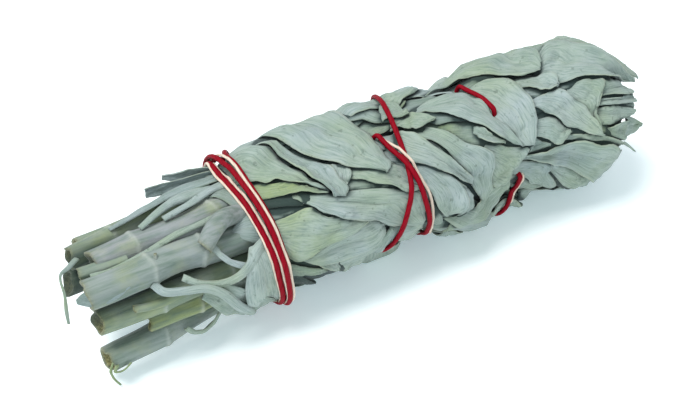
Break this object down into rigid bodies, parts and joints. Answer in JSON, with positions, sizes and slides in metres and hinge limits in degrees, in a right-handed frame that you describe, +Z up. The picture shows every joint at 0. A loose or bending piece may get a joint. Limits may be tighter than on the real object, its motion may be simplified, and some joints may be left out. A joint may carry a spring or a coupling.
{
  "type": "sage bunch",
  "caption": "Dried white sage stems lying side by side with their leaves wound round them, tied with a red and a cream cotton string.",
  "frame": {"origin": "centre of the bunch's bounding box in plan, on the surface that it lies on", "axes": "+X along the bunch from the cut stem ends to the leaf tips, +Z up, -Y towards the viewer"},
  "size_m": [0.1746, 0.0505, 0.0483],
  "materials": {
    "sage_leaf": "matt, felted dried leaf",
    "red_cotton": "twisted cotton",
    "cream_cotton": "twisted cotton"
  },
  "bodies": {
    "root": {"leafy_stem_1": "sage_leaf", "leafy_stem_2": "sage_leaf", "leafy_stem_3": "sage_leaf", "leafy_stem_4": "sage_leaf", "leafy_stem_5": "sage_leaf", "leafy_stem_6": "sage_leaf", "leafy_stem_7": "sage_leaf", "leafy_stem_8": "sage_leaf", "leafy_stem_9": "sage_leaf", "red_string": "red_cotton", "cream_string": "cream_cotton"}
  },
  "joints": []
}
